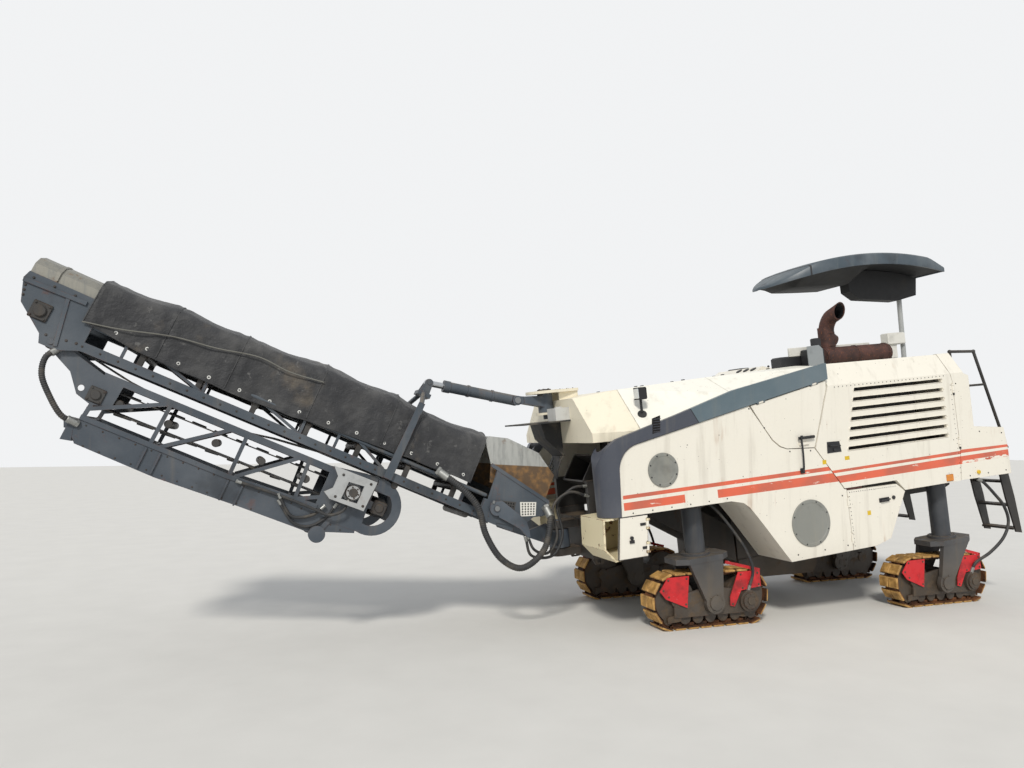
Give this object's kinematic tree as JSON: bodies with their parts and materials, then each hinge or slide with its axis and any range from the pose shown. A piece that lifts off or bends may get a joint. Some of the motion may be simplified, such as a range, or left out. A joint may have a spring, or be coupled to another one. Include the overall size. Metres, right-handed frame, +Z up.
{
  "type": "cold planer milling machine",
  "caption": "Road milling machine on four steered tracks, with a milling drum under the chassis and a folding front loading conveyor under canvas.",
  "frame": {"origin": "on the ground, at the centre of the machine's length and width", "axes": "+X runs to the machine's rear and the conveyor points along -X; +Y is the machine's right side; +Z is up"},
  "size_m": [10.428, 2.233, 4.1465],
  "materials": {
    "cream_paint": "faded gloss",
    "worn_cream_paint": "worn, rusty at the edges",
    "slate_paint": "satin, scuffed",
    "light_grey_paint": "faded, oily",
    "grey_paint": "satin",
    "dark_steel": "oily, worn",
    "worn_steel": "rusty and worn",
    "canopy_grey": "satin",
    "galvanised": "dull",
    "rod_steel": "polished",
    "belt_rubber": "dull",
    "track_shoes": "dusty, over a dark rusty chain",
    "canvas": "weathered canvas",
    "seat_vinyl": "soft sheen",
    "lamp_black": "satin"
  },
  "bodies": {
    "chassis": {"chassis_frame": "dark_steel", "drum_housing": "dark_steel", "side_panel_left": "cream_paint", "side_panel_right": "cream_paint", "grey_bands": "grey_paint", "rear_side_panels": "cream_paint", "nose_boxes": "worn_cream_paint", "hood": "cream_paint", "front_top_box": "worn_cream_paint", "transfer_box": "belt_rubber", "deck_boxes": "galvanised", "engine_block": "dark_steel", "engine_cover": "cream_paint", "exhaust": "worn_steel", "operator_platform": "dark_steel", "operator_console": "cream_paint", "operator_seat": "seat_vinyl", "canopy": "canopy_grey", "canopy_pole": "galvanised", "handrails": "dark_steel", "rear_steps": "dark_steel", "round_covers": "grey_paint", "work_lamp": "lamp_black", "loading_chute": "dark_steel"},
    "leg_front_left": {"leg_front_left": "dark_steel", "track_front_left": "track_shoes", "track_frame_front_left": "dark_steel"},
    "leg_front_right": {"leg_front_right": "dark_steel", "track_front_right": "track_shoes", "track_frame_front_right": "dark_steel"},
    "leg_rear_left": {"leg_rear_left": "dark_steel", "track_rear_left": "track_shoes", "track_frame_rear_left": "dark_steel"},
    "leg_rear_right": {"leg_rear_right": "dark_steel", "track_rear_right": "track_shoes", "track_frame_rear_right": "dark_steel"},
    "drum": {"milling_drum": "worn_steel"},
    "scraper": {"scraper_door": "worn_steel"},
    "engine_door": {"engine_door": "cream_paint"},
    "toolbox_door": {"toolbox_door": "cream_paint"},
    "nose_door": {"nose_door": "cream_paint"},
    "middle_flap": {"middle_flap": "cream_paint"},
    "slewing_yoke": {"slew_yoke": "slate_paint"},
    "conveyor": {"conveyor_frame": "slate_paint", "conveyor_canvas": "canvas", "conveyor_belt": "belt_rubber", "tip_hood": "galvanised", "tail_chute": "galvanised"},
    "folding_section": {"fold_frame": "slate_paint", "fold_belt": "belt_rubber", "fold_motor": "light_grey_paint"},
    "cylinder_tube": {"lift_cylinder": "slate_paint"},
    "cylinder_rod": {"lift_rod": "rod_steel"}
  },
  "joints": [
    {"name": "steer_front_left", "type": "hinge", "parent": "chassis", "child": "leg_front_left", "pos_m": [0.82401, -0.8075, 1.4383], "axis": [-0.1011, 0, 0.9949], "range_deg": [-20, 20]},
    {"name": "steer_front_right", "type": "hinge", "parent": "chassis", "child": "leg_front_right", "pos_m": [0.82401, 0.8075, 1.4383], "axis": [-0.1011, 0, 0.9949], "range_deg": [-20, 20]},
    {"name": "steer_rear_left", "type": "hinge", "parent": "chassis", "child": "leg_rear_left", "pos_m": [4.07279, -0.8075, 1.7683], "axis": [-0.1011, 0, 0.9949], "range_deg": [-20, 20]},
    {"name": "steer_rear_right", "type": "hinge", "parent": "chassis", "child": "leg_rear_right", "pos_m": [4.07279, 0.8075, 1.7683], "axis": [-0.1011, 0, 0.9949], "range_deg": [-20, 20]},
    {"name": "drum_spin", "type": "hinge", "parent": "chassis", "child": "drum", "pos_m": [2.35645, 0.5, 0.74964], "axis": [0, 1, 0], "continuous": true},
    {"name": "scraper_lift", "type": "slide", "parent": "chassis", "child": "scraper", "axis": [-0.1011, 0, 0.9949], "range_m": [0, 0.25]},
    {"name": "engine_door_swing", "type": "hinge", "parent": "chassis", "child": "engine_door", "pos_m": [4.15142, -1.1, 2.07783], "axis": [-0.1011, 0, 0.9949], "range_deg": [0, 110]},
    {"name": "toolbox_door_swing", "type": "hinge", "parent": "chassis", "child": "toolbox_door", "pos_m": [2.60082, -1.1, 1.01569], "axis": [0.1011, 0, -0.9949], "range_deg": [0, 100]},
    {"name": "nose_door_swing", "type": "hinge", "parent": "chassis", "child": "nose_door", "pos_m": [0.19232, -1.1, 0.958], "axis": [-0.0065, 0, 1], "range_deg": [0, 100]},
    {"name": "middle_flap_swing", "type": "hinge", "parent": "chassis", "child": "middle_flap", "pos_m": [1.36543, -1.1, 2.19388], "axis": [-0.9587, 0, -0.2843], "range_deg": [0, 70]},
    {"name": "conveyor_slew", "type": "hinge", "parent": "chassis", "child": "slewing_yoke", "pos_m": [-0.30518, 0, 1.3236], "axis": [-0.1011, 0, 0.9949], "range_deg": [-45, 45]},
    {"name": "conveyor_lift", "type": "hinge", "parent": "slewing_yoke", "child": "conveyor", "pos_m": [-1.09972, 0, 1.19967], "axis": [0, 1, 0], "range_deg": [-20, 2]},
    {"name": "conveyor_fold", "type": "hinge", "parent": "conveyor", "child": "folding_section", "pos_m": [-4.95099, 0, 2.68648], "axis": [0, 1, 0], "range_deg": [0, 180]},
    {"name": "cylinder_swing", "type": "hinge", "parent": "slewing_yoke", "child": "cylinder_tube", "pos_m": [-0.73353, 0, 2.27518], "axis": [0, 1, 0], "range_deg": [-15.25, 1.98]},
    {"name": "cylinder_stroke", "type": "slide", "parent": "cylinder_tube", "child": "cylinder_rod", "axis": [-0.985, 0, 0.1725], "range_m": [-0.0431, 0.3859]}
  ],
  "couplings": [
    {"joint": "steer_front_right", "follows": "steer_front_left", "ratio": 1},
    {"joint": "steer_rear_right", "follows": "steer_rear_left", "ratio": 1},
    {"joint": "cylinder_swing", "follows": "conveyor_lift", "ratio": 0.73765},
    {"joint": "cylinder_stroke", "follows": "conveyor_lift", "m_per_rad": -1.0911}
  ]
}
